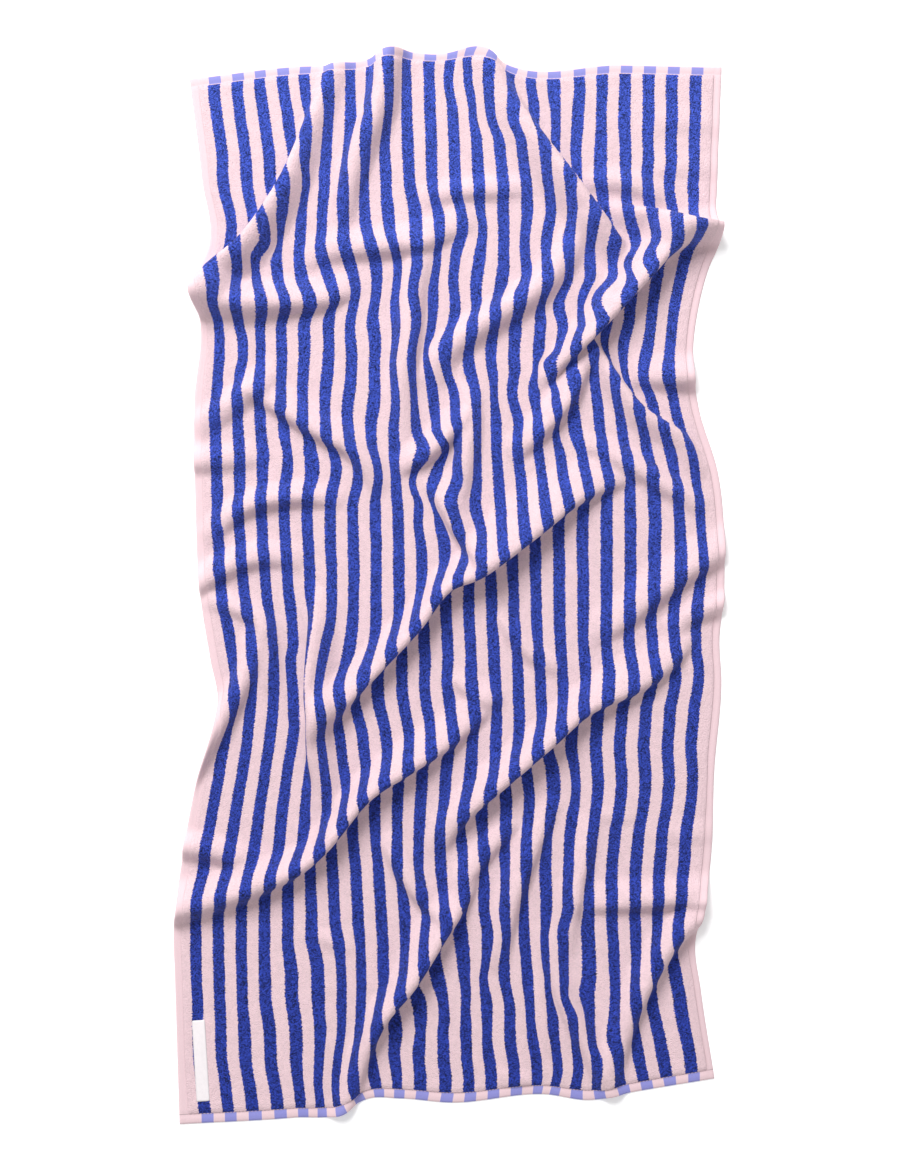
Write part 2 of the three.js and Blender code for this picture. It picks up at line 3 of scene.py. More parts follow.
import bmesh
import bpy
import numpy as np
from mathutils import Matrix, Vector


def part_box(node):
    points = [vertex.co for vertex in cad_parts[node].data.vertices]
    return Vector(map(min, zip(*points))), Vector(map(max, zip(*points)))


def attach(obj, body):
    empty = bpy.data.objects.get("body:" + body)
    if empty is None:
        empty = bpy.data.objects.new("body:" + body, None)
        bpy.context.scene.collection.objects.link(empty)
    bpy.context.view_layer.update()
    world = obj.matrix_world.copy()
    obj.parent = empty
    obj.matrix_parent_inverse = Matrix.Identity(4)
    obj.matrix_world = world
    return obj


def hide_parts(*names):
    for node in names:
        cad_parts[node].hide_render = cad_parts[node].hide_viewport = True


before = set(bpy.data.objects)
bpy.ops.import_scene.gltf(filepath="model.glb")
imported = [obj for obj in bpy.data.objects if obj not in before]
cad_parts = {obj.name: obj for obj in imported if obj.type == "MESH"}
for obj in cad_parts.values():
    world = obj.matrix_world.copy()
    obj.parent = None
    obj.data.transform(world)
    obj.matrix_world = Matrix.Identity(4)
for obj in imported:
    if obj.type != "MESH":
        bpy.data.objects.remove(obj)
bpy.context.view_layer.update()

# A striped terry bath towel, laid out flat on a pale surface and left rumpled. The cloth is worked out
# in millimetres on the table of its folds, the same as in its solid, and goes into the frame where the
# frame's label lies on it. MM turns the towel's millimetres into the scene's metres.
MM = 0.001

# Cloth as cut and hemmed
CUT_WIDTH = 700
CUT_LENGTH = 1400
THICKNESS = 3.0

# Woven label: size, place and turn on the laid cloth, cells of its mesh, tape thickness, corner radius,
# how far its underside lies in the pile, how much its middle stands proud of its edges, how flat that
# crown is across and along it, and how uneven it is along it
LABEL_WIDTH = 16
LABEL_LENGTH = 98
LABEL_CENTRE = (-304, -578)
LABEL_TURN = math.radians(3.8)
LABEL_CELLS = (10, 56)
LABEL_TAPE = 0.7
LABEL_ROUND = 1.8
LABEL_SINK = 0.1
LABEL_CROWN = 0.5
LABEL_FLATNESS = (4, 8)
LABEL_UNEVEN = 0.3
LABEL_WAVE = (3.1, 0.8)

# Blue stripes of the pile, counted from the left side hem
STRIPES = 23
STRIPE_PITCH = 29.15
BLUE_WIDTH = 14.8
FIRST_BLUE = 27.5

# Section of a hem: distance in from the edge, thickness of the cloth there
SIDE_HEM = 9.0
SIDE_HEM_SECTION = ((0, 1.7), (1.5, 2.2), (6, 2.2), (7.6, 1.7), (9, 2.1), (10.5, 2.9), (12.5, 3.0))
END_HEM = 11.0
END_HEM_SECTION = ((0, 1.7), (1.5, 2.1), (7.5, 2.1), (9.4, 1.5), (11, 1.8), (12, 2.9), (14, 3.0))

# Grid lines of the sheet: close together over a hem, then even
HEM_LINES = (0, 1.5, 4.5, 7.6, 9.2, 11, 12.4)
CELL = 4.75

# How far the rim of the cloth stands out, as a share of half its thickness
RIM_BULGE = 0.8

# Stitches: thread width, sides of its mesh, length and spacing, and the distance of each seam from its edge
THREAD = 0.55
STITCH_SIDES = 6
STITCH_LENGTH = 3.0
STITCH_PITCH = 4.2
SIDE_SEAM = 7.6
END_SEAM = 10.5

# Colours as light that the cloth throws back, red, green and blue. The blue of the pile is painted darker
# towards the lower hem and lighter towards the upper hem: painted shade below, painted light above.
PINK = (0.80, 0.588, 0.63)
BLUE_LOW_PAINTED_SHADE = (0.016, 0.034, 0.268)
BLUE_HIGH_PAINTED_LIGHT = (0.035, 0.066, 0.378)
CHAMBRAY = (0.28, 0.28, 0.66)
PINK_HEM = (0.82, 0.605, 0.645)
PINK_THREAD = (0.78, 0.55, 0.60)
TAPE_WHITE = (0.93, 0.87, 0.89)
FLOOR_WHITE = (0.94, 0.94, 0.945)

# Patterns of the pile, sizes in millimetres: its loops, tufts and cloudy patches
LOOP_SIZE = 1.2
TUFT_SIZE = 5
PATCH_SIZE = 14

# Brightness of each colour of the pile: plain part, and what loops, gaps (painted shade) and patches add to
# it
PINK_BRIGHT = {"plain": 0.955, "loops": 0.14, "gaps": -0.18, "patches": 0.14}
# Painted shade on the pink: its brightness changes by this much per metre along the towel, darker towards
# the upper hem
PINK_PAINTED_SHADE_ALONG = -0.04
BLUE_BRIGHT = {"plain": 0.17, "loops": 1.7, "gaps": -0.5, "patches": 0.4}

# Relief of the pile and of the flat-woven hems, and how deep and strong it shows, in millimetres
PILE_RELIEF = {"plain": 1.0, "tufts": 0.9, "gaps": -1.0, "patches": 1.2}
HEM_RELIEF = {"plain": 0.4, "weave": 0.12}
RELIEF_DEPTH = 1.0
RELIEF_STRENGTH = 0.7

# Edges of the stripes: how far they wobble from loop to loop and wander along the towel, over what
# lengths, and how soft they are in the pile and in the hems
EDGE_WOBBLE = 3.4
WOBBLE_SIZE = 1.7
STRIPE_WANDER = 2.4
WANDER_SIZE = 45
PILE_EDGE = 0.3
HEM_EDGE = 0.2

# Hems: how softly the pile ends at them, pitch of the weave, how far the stripes of each end hem lie to the
# right, where their blue blocks begin at the top edge, where the seam begins and how soft both lines are,
# then their brightness, with the painted shadow along the seam at the bottom and the painted highlight at
# the top
SIDE_HEM_BLEND = 0.4
END_HEM_BLEND = 0.3
HEM_WEAVE = 0.9
TOP_HEM_SHIFT = 1.5
BOTTOM_HEM_SHIFT = 3.0
BLOCK_START = 0.9
SEAM_START = 10.2
HEM_LINE_BLEND = 0.2
HEM_BRIGHT = {"plain": 1.0, "weave": 0.10, "painted_seam_shadow": -0.42, "painted_seam_highlight": 0.04}

# Tape: pitch of its ribs, where its selvedge begins and is full from the middle, size of its uneven
# patches, its brightness, and depth and strength of its relief
TAPE_RIBS = 0.7
SELVEDGE = (6.4, 7.2)
TAPE_PATCHES = 6
TAPE_BRIGHT = {"plain": 0.94, "ribs": 0.04, "selvedge": -0.08, "patches": 0.08}
TAPE_RELIEF = (0.12, 0.6)

# Thread: size of its twist, its brightness, and depth and strength of its relief
THREAD_TWIST = 0.4
THREAD_BRIGHT = {"plain": 0.85, "twist": 0.3}
THREAD_RELIEF = (0.1, 0.5)

# Roughness, sheen and shine of every material
TERRY_SURFACE = {"roughness": 0.92, "sheen": 0.1, "sheen_roughness": 0.6, "specular": 0.12}
THREAD_SURFACE = {"roughness": 0.6, "sheen": 0.1}
TAPE_SURFACE = {"roughness": 0.7, "sheen": 0.1}
FLOOR_SURFACE = {"roughness": 0.8, "specular": 0.1}

# Photograph: camera distance above the surface, its tilt from straight down, and its lens
CAMERA_DISTANCE = 2.8
CAMERA_TILT = math.radians(3.5)
CAMERA_LENS = 69.3

# Studio: half the floor's width, its faint mottling and its own glow, which keeps the shadows faint, then
# the daylight all round and the one large light beyond the top of the towel
FLOOR_HALF = 6.0
MOTTLE_SIZE = 40
MOTTLE = 0.06
FLOOR_GLOW = 0.22
DAYLIGHT = 0.54
KEY_PLACE = (-1.2, 2.9, 3.0)
KEY_SIZE = 2.1
KEY_POWER = 214

# Large folds. A section is x, y, height, left, right on the crest: left and right are how far the fold
# spreads on each side of it, seen along the crest. The lean carries the crest to the right by that
# share of its height, so that the steep side stands or hangs over a little.
LARGE_FOLDS = (
    {"name": "upper left roll", "lean": 0.45, "sections": (
        (-138, 673, 6, 22, 14),
        (-176, 582, 16, 22, 14),
        (-210, 504, 28, 22, 14),
        (-254, 437, 32, 22, 14),
        (-300, 396, 27, 24, 16),
        (-339, 359, 16, 26, 16),
    )},
    {"name": "upper left ledge", "lean": 0.2, "sections": (
        (-352, 356, 22, 26, 26),
        (-290, 356, 26, 30, 30),
        (-247, 354, 26, 30, 32),
        (-204, 355, 22, 30, 22),
        (-155, 360, 16, 28, 18),
        (-110, 382, 0, 20, 16),
    )},
    {"name": "top middle rise", "lean": 0, "sections": (
        (-75, 684, 24, 30, 22),
        (-89, 605, 24, 28, 20),
        (-112, 553, 20, 26, 18),
        (-130, 494, 15, 22, 16),
        (-145, 422, 0, 20, 16),
    )},
    {"name": "top right diagonal", "lean": 0.45, "sections": (
        (222, 408, 0, 24, 14),
        (197, 449, 22, 26, 14),
        (156, 506, 29, 32, 14),
        (114, 560, 22, 34, 16),
        (70, 622, 12, 34, 18),
        (40, 688, 14, 34, 20),
    )},
    {"name": "upper right roll", "lean": 0.45, "sections": (
        (104, 250, 0, 12, 14),
        (144, 284, 20, 13, 14),
        (184, 319, 32, 18, 14),
        (239, 378, 38, 26, 16),
        (286, 429, 31, 28, 22),
        (350, 447, 15, 26, 32),
    )},
    {"name": "middle diagonal", "lean": 0.45, "sections": (
        (-178, -192, 0, 25, 20),
        (-132, -145, 22, 24, 18),
        (-87, -101, 28, 20, 14),
        (-40, -52, 32, 14, 14),
        (-3, -4, 32, 14, 14),
        (42, 16, 34, 32, 14),
        (108, 66, 33, 50, 15),
        (164, 112, 21, 45, 16),
        (236, 146, 0, 30, 16),
    )},
    {"name": "lower right diagonal", "lean": 0.4, "sections": (
        (-22, -330, 0, 25, 16),
        (14, -284, 20, 25, 16),
        (69, -239, 30, 22, 15),
        (124, -192, 31, 20, 15),
        (171, -151, 26, 26, 15),
        (233, -121, 19, 38, 16),
        (276, -87, 13, 30, 16),
        (300, -46, 0, 24, 16),
    )},
    {"name": "lower left diagonal", "lean": 0.4, "sections": (
        (-365, -403, 20, 30, 32),
        (-279, -381, 24, 26, 29),
        (-200, -353, 27, 18, 20),
        (-153, -321, 30, 14, 14),
        (-101, -259, 30, 18, 14),
        (-49, -224, 28, 28, 15),
        (2, -187, 18, 30, 17),
        (62, -126, 0, 22, 18),
    )},
    {"name": "bottom roll", "lean": 0.4, "sections": (
        (-141, -682, 7, 16, 18),
        (-112, -588, 14, 16, 17),
        (-82, -530, 24, 14, 14),
        (-46, -487, 28, 20, 14),
        (-11, -431, 25, 30, 14),
        (20, -379, 12, 22, 12),
        (34, -334, 0, 20, 12),
    )},
)

# Small folds, a row each: name, lean, height, left, right, crest. They rise from nothing at one end of
# the crest to their height and go back to nothing at the other end.
SMALL_FOLDS = (
    ("corner tuck", 0.55, 21, 24, 10, ((385, 452), (310, 462), (236, 472), (192, 479))),
    ("upper shelf", 0.1, 16, 28, 18, ((-192, 406), (-143, 421), (-81, 426), (-25, 436), (31, 466))),
    ("upper ripple", 0.1, 10, 18, 14, ((-40, 483), (0, 494), (68, 498), (106, 503))),
    ("upper swell", 0.1, 21, 22, 25,
     ((-31, 246), (-4, 295), (52, 335), (111, 374), (146, 418), (164, 465))),
    ("centre upright", 0, 17, 20, 22, ((-35, 434), (-46, 368), (-54, 294), (-59, 238), (-51, 169))),
    ("centre hook", 0.2, 18, 24, 13, ((-70, 144), (-25, 167), (2, 194), (22, 225))),
    ("centre ripple", 0, 14, 17, 18, ((25, 257), (26, 213), (21, 167), (6, 93))),
    ("diagonal feeder", 0.3, 17, 30, 13, ((-25, 137), (-9, 104), (15, 62), (55, 17))),
    ("diagonal tail", 0.45, 25, 28, 11,
     ((-162, 2), (-174, -84), (-176, -139), (-172, -206), (-154, -275))),
    ("right swell", 0.1, 17, 36, 16, ((166, -67), (215, -40), (258, -6), (316, 33), (394, 70))),
    ("right edge ripple", 0, 13, 16, 14, ((264, -55), (307, -30), (381, -6))),
    ("bottom roll feeder", 0.2, 14, 20, 12, ((-84, -300), (-61, -346), (-27, -390), (10, -413))),
    ("lower pleat", 0.1, 15, 25, 12, ((58, -473), (76, -394), (98, -331), (130, -258))),
    ("lower second pleat", 0.1, 12, 22, 12, ((144, -455), (151, -388), (165, -334), (175, -279))),
    ("lower nick", 0.2, 12, 20, 12, ((0, -372), (34, -338), (61, -307), (83, -283))),
    ("lower right shelf", 0.1, 15, 30, 14, ((140, -389), (207, -387), (280, -382), (402, -370))),
    ("lower right roll", 0.25, 21, 24, 14,
     ((194, -610), (224, -520), (270, -439), (310, -403), (377, -369))),
    ("bottom crease", 0.1, 12, 16, 16, ((113, -412), (141, -503), (179, -581), (230, -683))),
    ("left diagonal", 0.2, 18, 30, 12,
     ((-264, 256), (-232, 235), (-163, 191), (-121, 167), (-84, 115))),
    ("left diagonal branch", 0, 12, 20, 20, ((-321, 197), (-282, 221), (-245, 250), (-210, 279))),
    ("left arch", 0.1, 16, 22, 12, ((-304, 56), (-259, 95), (-197, 111), (-129, 107))),
    ("left edge ripple", 0, 11, 24, 16, ((-383, 153), (-290, 158), (-228, 164))),
    ("left second arch", 0.1, 14, 24, 14, ((-350, -23), (-280, 21), (-231, 37), (-178, 32))),
    ("left hook", 0.1, 12, 16, 12, ((-307, -13), (-254, -30), (-229, -55), (-223, -132))),
    ("left edge roll", 0.1, 21, 16, 18,
     ((-371, -321), (-305, -202), (-275, -153), (-253, -108), (-236, -41))),
    ("left low ripple", 0, 15, 20, 17, ((-403, -315), (-317, -319), (-275, -327), (-224, -346))),
    ("right edge shelf", 0.1, 20, 30, 20, ((220, 267), (278, 262), (395, 263))),
    ("right tuck", 0.45, 18, 20, 10, ((316, 138), (288, 187), (240, 220), (204, 265), (160, 329))),
    ("right ripple", 0.1, 14, 18, 14, ((156, 185), (212, 161), (259, 130), (318, 94))),
    ("roll foot", 0.2, 19, 25, 12, ((74, 159), (117, 196), (150, 236), (178, 306))),
    ("inner nick", 0.1, 10, 16, 12, ((59, -25), (84, -65), (113, -92), (141, -102))),
    ("inner second nick", 0.1, 9, 15, 12, ((-2, -104), (31, -131), (66, -140))),
    ("top right ripple", 0, 9, 20, 14, ((162, 508), (218, 506), (271, 486))),
)

# Fine creases, in the same columns as the small folds. They are too slight for the solid.
FINE_CREASES = (
    ("low left crease", 0, 4, 14, 8, ((-178, -424), (-150, -433), (-118, -448))),
    ("top right crease", 0, 3, 26, 14, ((235, 578), (290, 582), (350, 576))),
    ("top right second crease", 0, 3, 22, 12, ((235, 523), (285, 527), (345, 520))),
    ("low right crease", 0, 3.5, 16, 10, ((170, -275), (200, -282), (228, -280))),
    ("low right second crease", 0, 3, 20, 12, ((250, -300), (285, -305), (330, -302))),
    ("bottom dimple", 0, 3, 14, 8, ((52, -595), (80, -603), (108, -600))),
    ("low upright crease", 0, 4, 12, 9, ((104, -470), (111, -520), (120, -575))),
    ("left upright crease", 0, 5, 9, 12, ((-172, -235), (-158, -275), (-146, -312))),
)

# Soft creases that draw the cloth sideways in its plane: from, to, push to the right, reach
SWAYS = (
    ((-90, 400), (-140, 370), 9, 60),
    ((-40, 470), (-25, 410), 6, 40),
    ((-235, 355), (-175, 355), 6, 32),
    ((-230, 445), (-230, 430), 6, 25),
    ((-285, 385), (-260, 385), 4, 30),
    ((-185, 500), (-190, 440), 3, 30),
    ((15, 640), (120, 640), -8, 45),
    ((50, 595), (95, 585), -6, 35),
    ((120, 650), (200, 600), -4, 60),
    ((140, 600), (185, 520), -4, 38),
    ((0, 400), (70, 350), -4.5, 45),
    ((5, 465), (20, 450), 5, 35),
    ((0, 300), (60, 290), -5, 55),
    ((110, 430), (180, 420), -4, 45),
    ((140, 352), (185, 365), -8, 30),
    ((225, 405), (260, 420), -6, 22),
    ((245, 505), (275, 500), -4, 35),
    ((-262, 305), (-262, 290), 5, 25),
    ((-150, 300), (-80, 240), 4.5, 50),
    ((-150, 150), (-110, 140), 8, 42),
    ((-212, 165), (-205, 150), 5, 26),
    ((-175, 180), (-175, 140), 4, 25),
    ((-38, 172), (-14, 170), 9, 24),
    ((-32, 130), (0, 110), -9, 28),
    ((-8, 290), (5, 270), -5, 30),
    ((-85, 310), (-50, 330), 4.5, 40),
    ((-25, 80), (30, 100), -5, 35),
    ((80, 240), (105, 240), -6.5, 35),
    ((125, 276), (128, 262), -8, 22),
    ((150, 270), (150, 190), -6, 25),
    ((215, 300), (245, 265), -7, 35),
    ((-165, -90), (-120, -130), -4.5, 60),
    ((-95, -130), (0, -130), -3.5, 50),
    ((-190, -90), (-188, -150), -5, 22),
    ((70, -255), (290, -245), 5.5, 60),
    ((125, -225), (130, -250), 4, 28),
    ((275, 150), (290, 20), 4.5, 45),
    ((215, -115), (300, -110), 4, 40),
    ((-20, -510), (40, -430), 8, 40),
    ((20, -512), (65, -520), 6, 45),
    ((5, -600), (90, -590), 8, 65),
    ((-200, -560), (-200, -650), 5.5, 70),
    ((-306, -540), (-302, -620), -1.5, 22),
    ((-140, -450), (-140, -530), 5, 45),
    ((146, -430), (150, -490), -8, 40),
    ((172, -500), (182, -550), -6, 28),
    ((290, -470), (300, -570), 6.5, 50),
    ((-35, -545), (15, -545), 6, 36),
    ((-305, -640), (-205, -640), 5, 70),
    ((130, -622), (185, -618), -4.5, 34),
    ((35, 672), (70, 665), -7, 28),
    ((150, 660), (235, 657), -2, 40),
    ((165, 630), (265, 630), -2.5, 60),
    ((165, 560), (250, 560), -2.5, 60),
    ((-290, 500), (-225, 510), -3.5, 45),
    ((-300, 640), (-260, 643), 2, 30),
    ((-175, 640), (-172, 610), -3.5, 25),
    ((-108, 645), (-106, 610), -3, 18),
    ((-68, -540), (-45, -510), 6, 32),
    ((-175, -480), (-165, -560), 6, 55),
)

# Over what distance the pushes fade out towards a side edge, and how far in from an end hem the cloth
# follows the curve of that hem as it slides
SIDE_HOLD = 24
END_HOLD = 60

# Outline of the laid towel, x and y down each long edge and along each hem, corners at the ends
LEFT_EDGE = (
    (-326, 639), (-310, 516), (-302, 422), (-314, 395), (-316, 372), (-315, 356), (-311, 336),
    (-317, 234), (-315, 109), (-309, -3), (-295, -89), (-286, -138), (-291, -169), (-312, -243),
    (-329, -340), (-338, -420), (-336, -474), (-329, -654),
)
RIGHT_EDGE = (
    (340, 654), (333, 498), (332, 466), (336, 450), (335, 430), (323, 402), (311, 360), (302, 270),
    (309, 221), (331, 146), (339, 35), (338, -9), (332, -64), (334, -114), (325, -218),
    (316, -359), (305, -410), (300, -433), (306, -492), (322, -599),
)
TOP_HEM = (
    (-326, 639), (-195, 655), (-135, 658), (-105, 664), (-85, 672), (-15, 671), (30, 676), (50, 669),
    (69, 659), (213, 657), (340, 654),
)
BOTTOM_HEM = (
    (-329, -654), (-190, -646), (-132, -640), (-117, -631), (-102, -624), (-61, -623), (0, -628),
    (117, -618), (171, -625), (219, -616), (322, -599),
)

# Profile of a fold's side: a narrow side is rounder at its crest than a wide one. Then the steps of a
# crest's curve from row to row, and how a small fold rises from its ends.
NARROW_SIDE = 14
WIDE_SIDE = 30
NARROW_POWER = 3
WIDE_POWER = 2
CURVE_STEPS = 8
END_RISE = 0.75

# Grid that holds the heights, and how often it is softened
FIELD_STEP = 2.5
FIELD_HALF = (400, 720)
SOFTEN_ROUNDS = 2

# Settling of the cloth: how weakly a slack thread pushes, between which ratios a thread's length counts,
# how strongly all threads pull, the momentum of the rounds, and the grids from coarse to fine
SLACK_STIFFNESS = 0.35
LENGTH_RATIO = (0.3, 3)
PULL = 1.6
MOMENTUM = 0.9
LATE_MOMENTUM = 0.3
EARLY_ROUNDS = 20
LATE_ROUNDS = 30
SETTLING = (
    {"across": 19, "along": 38, "rounds": 150, "smoothing": 0.1},
    {"across": 38, "along": 76, "rounds": 400, "smoothing": 0.02},
    {"across": 76, "along": 152, "rounds": 400, "smoothing": 0.005},
)


def curve_through(rows):
    """Smooth curve through rows of numbers, every column alike."""
    rows = np.array(rows, float)
    padded = np.vstack([2 * rows[0] - rows[1], rows, 2 * rows[-1] - rows[-2]])
    points = []
    for a, b, c, d in zip(padded, padded[1:], padded[2:], padded[3:]):
        for t in np.arange(CURVE_STEPS) / CURVE_STEPS:
            square = (2 * a - 5 * b + 4 * c - d) * t**2
            cube = (3 * b - a - 3 * c + d) * t**3
            points.append(0.5 * (2 * b + (c - a) * t + square + cube))
    return np.array(points + [rows[-1]])


def small_fold_sections(height, left, right, crest):
    """Crest of a small fold with its height and widths at every point."""
    line = curve_through(crest)
    steps = np.linalg.norm(np.diff(line, axis=0), axis=1)
    run = np.concatenate([[0], np.cumsum(steps)])
    rise = np.clip(np.sin(np.pi * run / run[-1]), 0, 1) ** END_RISE
    spread = np.ones(len(line))
    return np.column_stack([line, height * rise, left * spread, right * spread])


def side_profile(distance, width):
    """Height across a fold, 1 on the crest and 0 where the side ends."""
    wide = np.clip((width - NARROW_SIDE) / (WIDE_SIDE - NARROW_SIDE), 0, 1)
    power = NARROW_POWER + (WIDE_POWER - NARROW_POWER) * wide
    return (1 - np.minimum(distance / width, 1) ** power) ** 2


def fold_relief(sections, lean, x, y):
    """Height and lean shift of one fold at the points x, y."""
    places = sections[:, :2]
    travel = np.gradient(places, axis=0)
    travel /= np.linalg.norm(travel, axis=1)[:, None]
    to_right = np.column_stack([travel[:, 1], -travel[:, 0]])
    nearest = np.full(x.shape, np.inf)
    # Signed distance, height, left and right width, and the direction to the right, at the nearest place
    found = np.zeros((6, *x.shape))
    for i in range(len(sections) - 1):
        edge = places[i + 1] - places[i]
        t = ((x - places[i, 0]) * edge[0] + (y - places[i, 1]) * edge[1]) / (edge @ edge)
        t = np.clip(t, 0, 1)
        rest_x = x - places[i, 0] - t * edge[0]
        rest_y = y - places[i, 1] - t * edge[1]
        square = rest_x**2 + rest_y**2
        normal_x = to_right[i, 0] + t * (to_right[i + 1, 0] - to_right[i, 0])
        normal_y = to_right[i, 1] + t * (to_right[i + 1, 1] - to_right[i, 1])
        side = np.where(rest_x * normal_x + rest_y * normal_y >= 0, 1, -1)
        height, left, right = (
            sections[i, c] + t * (sections[i + 1, c] - sections[i, c]) for c in (2, 3, 4)
        )
        closer = square < nearest
        nearest = np.where(closer, square, nearest)
        here = np.stack([side * np.sqrt(square), height, left, right, normal_x, normal_y])
        found = np.where(closer, here, found)
    distance, height, left, right, normal_x, normal_y = found
    height = np.maximum(height, 0)
    across = distance + lean * height
    raised = height * side_profile(np.abs(across), np.where(across >= 0, right, left))
    return np.stack([raised, normal_x * lean * raised, normal_y * lean * raised])


def add_fold(relief, sections, lean):
    """Adds one fold to the relief, over the part of the grid that it reaches."""
    reach = sections[:, 3:].max() + lean * sections[:, 2].max()
    low = sections[:, :2].min(axis=0) - reach
    high = sections[:, :2].max(axis=0) + reach
    spans = []
    for axis, size in ((1, relief.shape[1]), (0, relief.shape[2])):
        first = math.floor((low[axis] + FIELD_HALF[axis]) / FIELD_STEP)
        last = math.ceil((high[axis] + FIELD_HALF[axis]) / FIELD_STEP) + 1
        spans.append(np.arange(max(first, 0), min(last, size)))
    y, x = np.meshgrid(*(span * FIELD_STEP for span in spans), indexing="ij")
    window = np.ix_(range(3), *spans)
    relief[window] += fold_relief(sections, lean, x - FIELD_HALF[0], y - FIELD_HALF[1])


def folded_relief():
    """Height of the laid cloth and its lean shifts, on a grid over the surface that it lies on."""
    columns, rows = (int(2 * half / FIELD_STEP) + 1 for half in FIELD_HALF)
    relief = np.zeros((3, rows, columns))
    for fold in LARGE_FOLDS:
        add_fold(relief, curve_through(fold["sections"]), fold["lean"])
    for _, lean, height, left, right, crest in SMALL_FOLDS + FINE_CREASES:
        add_fold(relief, small_fold_sections(height, left, right, crest), lean)
    for _ in range(SOFTEN_ROUNDS):
        relief[:, :, 1:-1] = (relief[:, :, :-2] + 2 * relief[:, :, 1:-1] + relief[:, :, 2:]) / 4
        relief[:, 1:-1] = (relief[:, :-2] + 2 * relief[:, 1:-1] + relief[:, 2:]) / 4
    return relief


def cloth_points(relief, x, y):
    """Where the cloth over the places x, y really is: the middle of its thickness."""
    column = (x + FIELD_HALF[0]) / FIELD_STEP
    line = (y + FIELD_HALF[1]) / FIELD_STEP
    left = np.clip(np.floor(column).astype(int), 0, relief.shape[2] - 2)
    lower = np.clip(np.floor(line).astype(int), 0, relief.shape[1] - 2)
    a = column - left
    b = line - lower
    low = relief[:, lower, left] * (1 - a) + relief[:, lower, left + 1] * a
    high = relief[:, lower + 1, left] * (1 - a) + relief[:, lower + 1, left + 1] * a
    height, shift_x, shift_y = low * (1 - b) + high * b
    return np.stack([x + shift_x, y + shift_y, height + THICKNESS / 2])


def edge_value(table, place, along):
    """Smooth value of an edge table at a place on it. along is the column that place is in."""
    rows = np.array(sorted(table, key=lambda row: row[along]), float)
    at, value = rows[:, along], rows[:, 1 - along]
    slope = np.gradient(value, at)
    k = np.clip(np.searchsorted(at, place) - 1, 0, len(at) - 2)
    span = at[k + 1] - at[k]
    t = np.clip((place - at[k]) / span, 0, 1)
    start = (1 + 2 * t) * (1 - t) ** 2 * value[k] + t * (1 - t) ** 2 * span * slope[k]
    end = t**2 * (3 - 2 * t) * value[k + 1] + t**2 * (t - 1) * span * slope[k + 1]
    return start + end


def hold_edges(cloth):
    """Slides the rim of the cloth back on the outline. cloth is x and y, row by row from the bottom."""
    x, y = cloth
    x[1:-1, 0] = edge_value(LEFT_EDGE, y[1:-1, 0], 1)
    x[1:-1, -1] = edge_value(RIGHT_EDGE, y[1:-1, -1], 1)
    y[0, 1:-1] = edge_value(BOTTOM_HEM, x[0, 1:-1], 0)
    y[-1, 1:-1] = edge_value(TOP_HEM, x[-1, 1:-1], 0)
    cloth[:, 0, 0] = BOTTOM_HEM[0]
    cloth[:, 0, -1] = BOTTOM_HEM[-1]
    cloth[:, -1, 0] = TOP_HEM[0]
    cloth[:, -1, -1] = TOP_HEM[-1]


def spread_cloth(across, along):
    """First guess: a grid blended from the four edges."""
    s = np.linspace(0, 1, across + 1)
    t = np.linspace(0, 1, along + 1)[:, None]
    corners = np.array([[BOTTOM_HEM[0], BOTTOM_HEM[-1]], [TOP_HEM[0], TOP_HEM[-1]]], float)
    (low_left, low_right), (high_left, high_right) = corners
    left_y = low_left[1] + t * (high_left[1] - low_left[1])
    right_y = low_right[1] + t * (high_right[1] - low_right[1])
    low_x = low_left[0] + s * (low_right[0] - low_left[0])
    high_x = high_left[0] + s * (high_right[0] - high_left[0])
    left_x = edge_value(LEFT_EDGE, left_y, 1)
    right_x = edge_value(RIGHT_EDGE, right_y, 1)
    low_y = edge_value(BOTTOM_HEM, low_x, 0)
    high_y = edge_value(TOP_HEM, high_x, 0)
    flat = [
        (1 - s) * (1 - t) * low_left[c] + s * (1 - t) * low_right[c]
        + (1 - s) * t * high_left[c] + s * t * high_right[c]
        for c in (0, 1)
    ]
    x = (1 - s) * left_x + s * right_x + (1 - t) * low_x + t * high_x - flat[0]
    y = (1 - s) * left_y + s * right_y + (1 - t) * low_y + t * high_y - flat[1]
    cloth = np.stack([x, y])
    hold_edges(cloth)
    return cloth


def refine_cloth(cloth):
    """Same cloth with twice as many cells each way."""
    rows = np.repeat(cloth, 2, axis=1)[:, :-1]
    rows[:, 1::2] = (cloth[:, :-1] + cloth[:, 1:]) / 2
    fine = np.repeat(rows, 2, axis=2)[:, :, :-1]
    fine[:, :, 1::2] = (rows[:, :, :-1] + rows[:, :, 1:]) / 2
    return fine


def thread_pull(cloth, relief, threads):
    """How far each point wants to move so that its threads have their length on the folds."""
    raised = cloth_points(relief, *cloth)
    pull = np.zeros_like(cloth)
    weight = np.zeros(cloth.shape[1:])
    for a, b, length in threads:
        step = cloth[:, *b] - cloth[:, *a]
        now = np.linalg.norm(raised[:, *b] - raised[:, *a], axis=0)
        share = (np.clip(length / now, *LENGTH_RATIO) - 1) / 2
        share = np.where(share > 0, share * SLACK_STIFFNESS, share)
        pull[:, *b] += share * step
        pull[:, *a] -= share * step
        weight[*a] += 1
        weight[*b] += 1
    return PULL * pull / weight


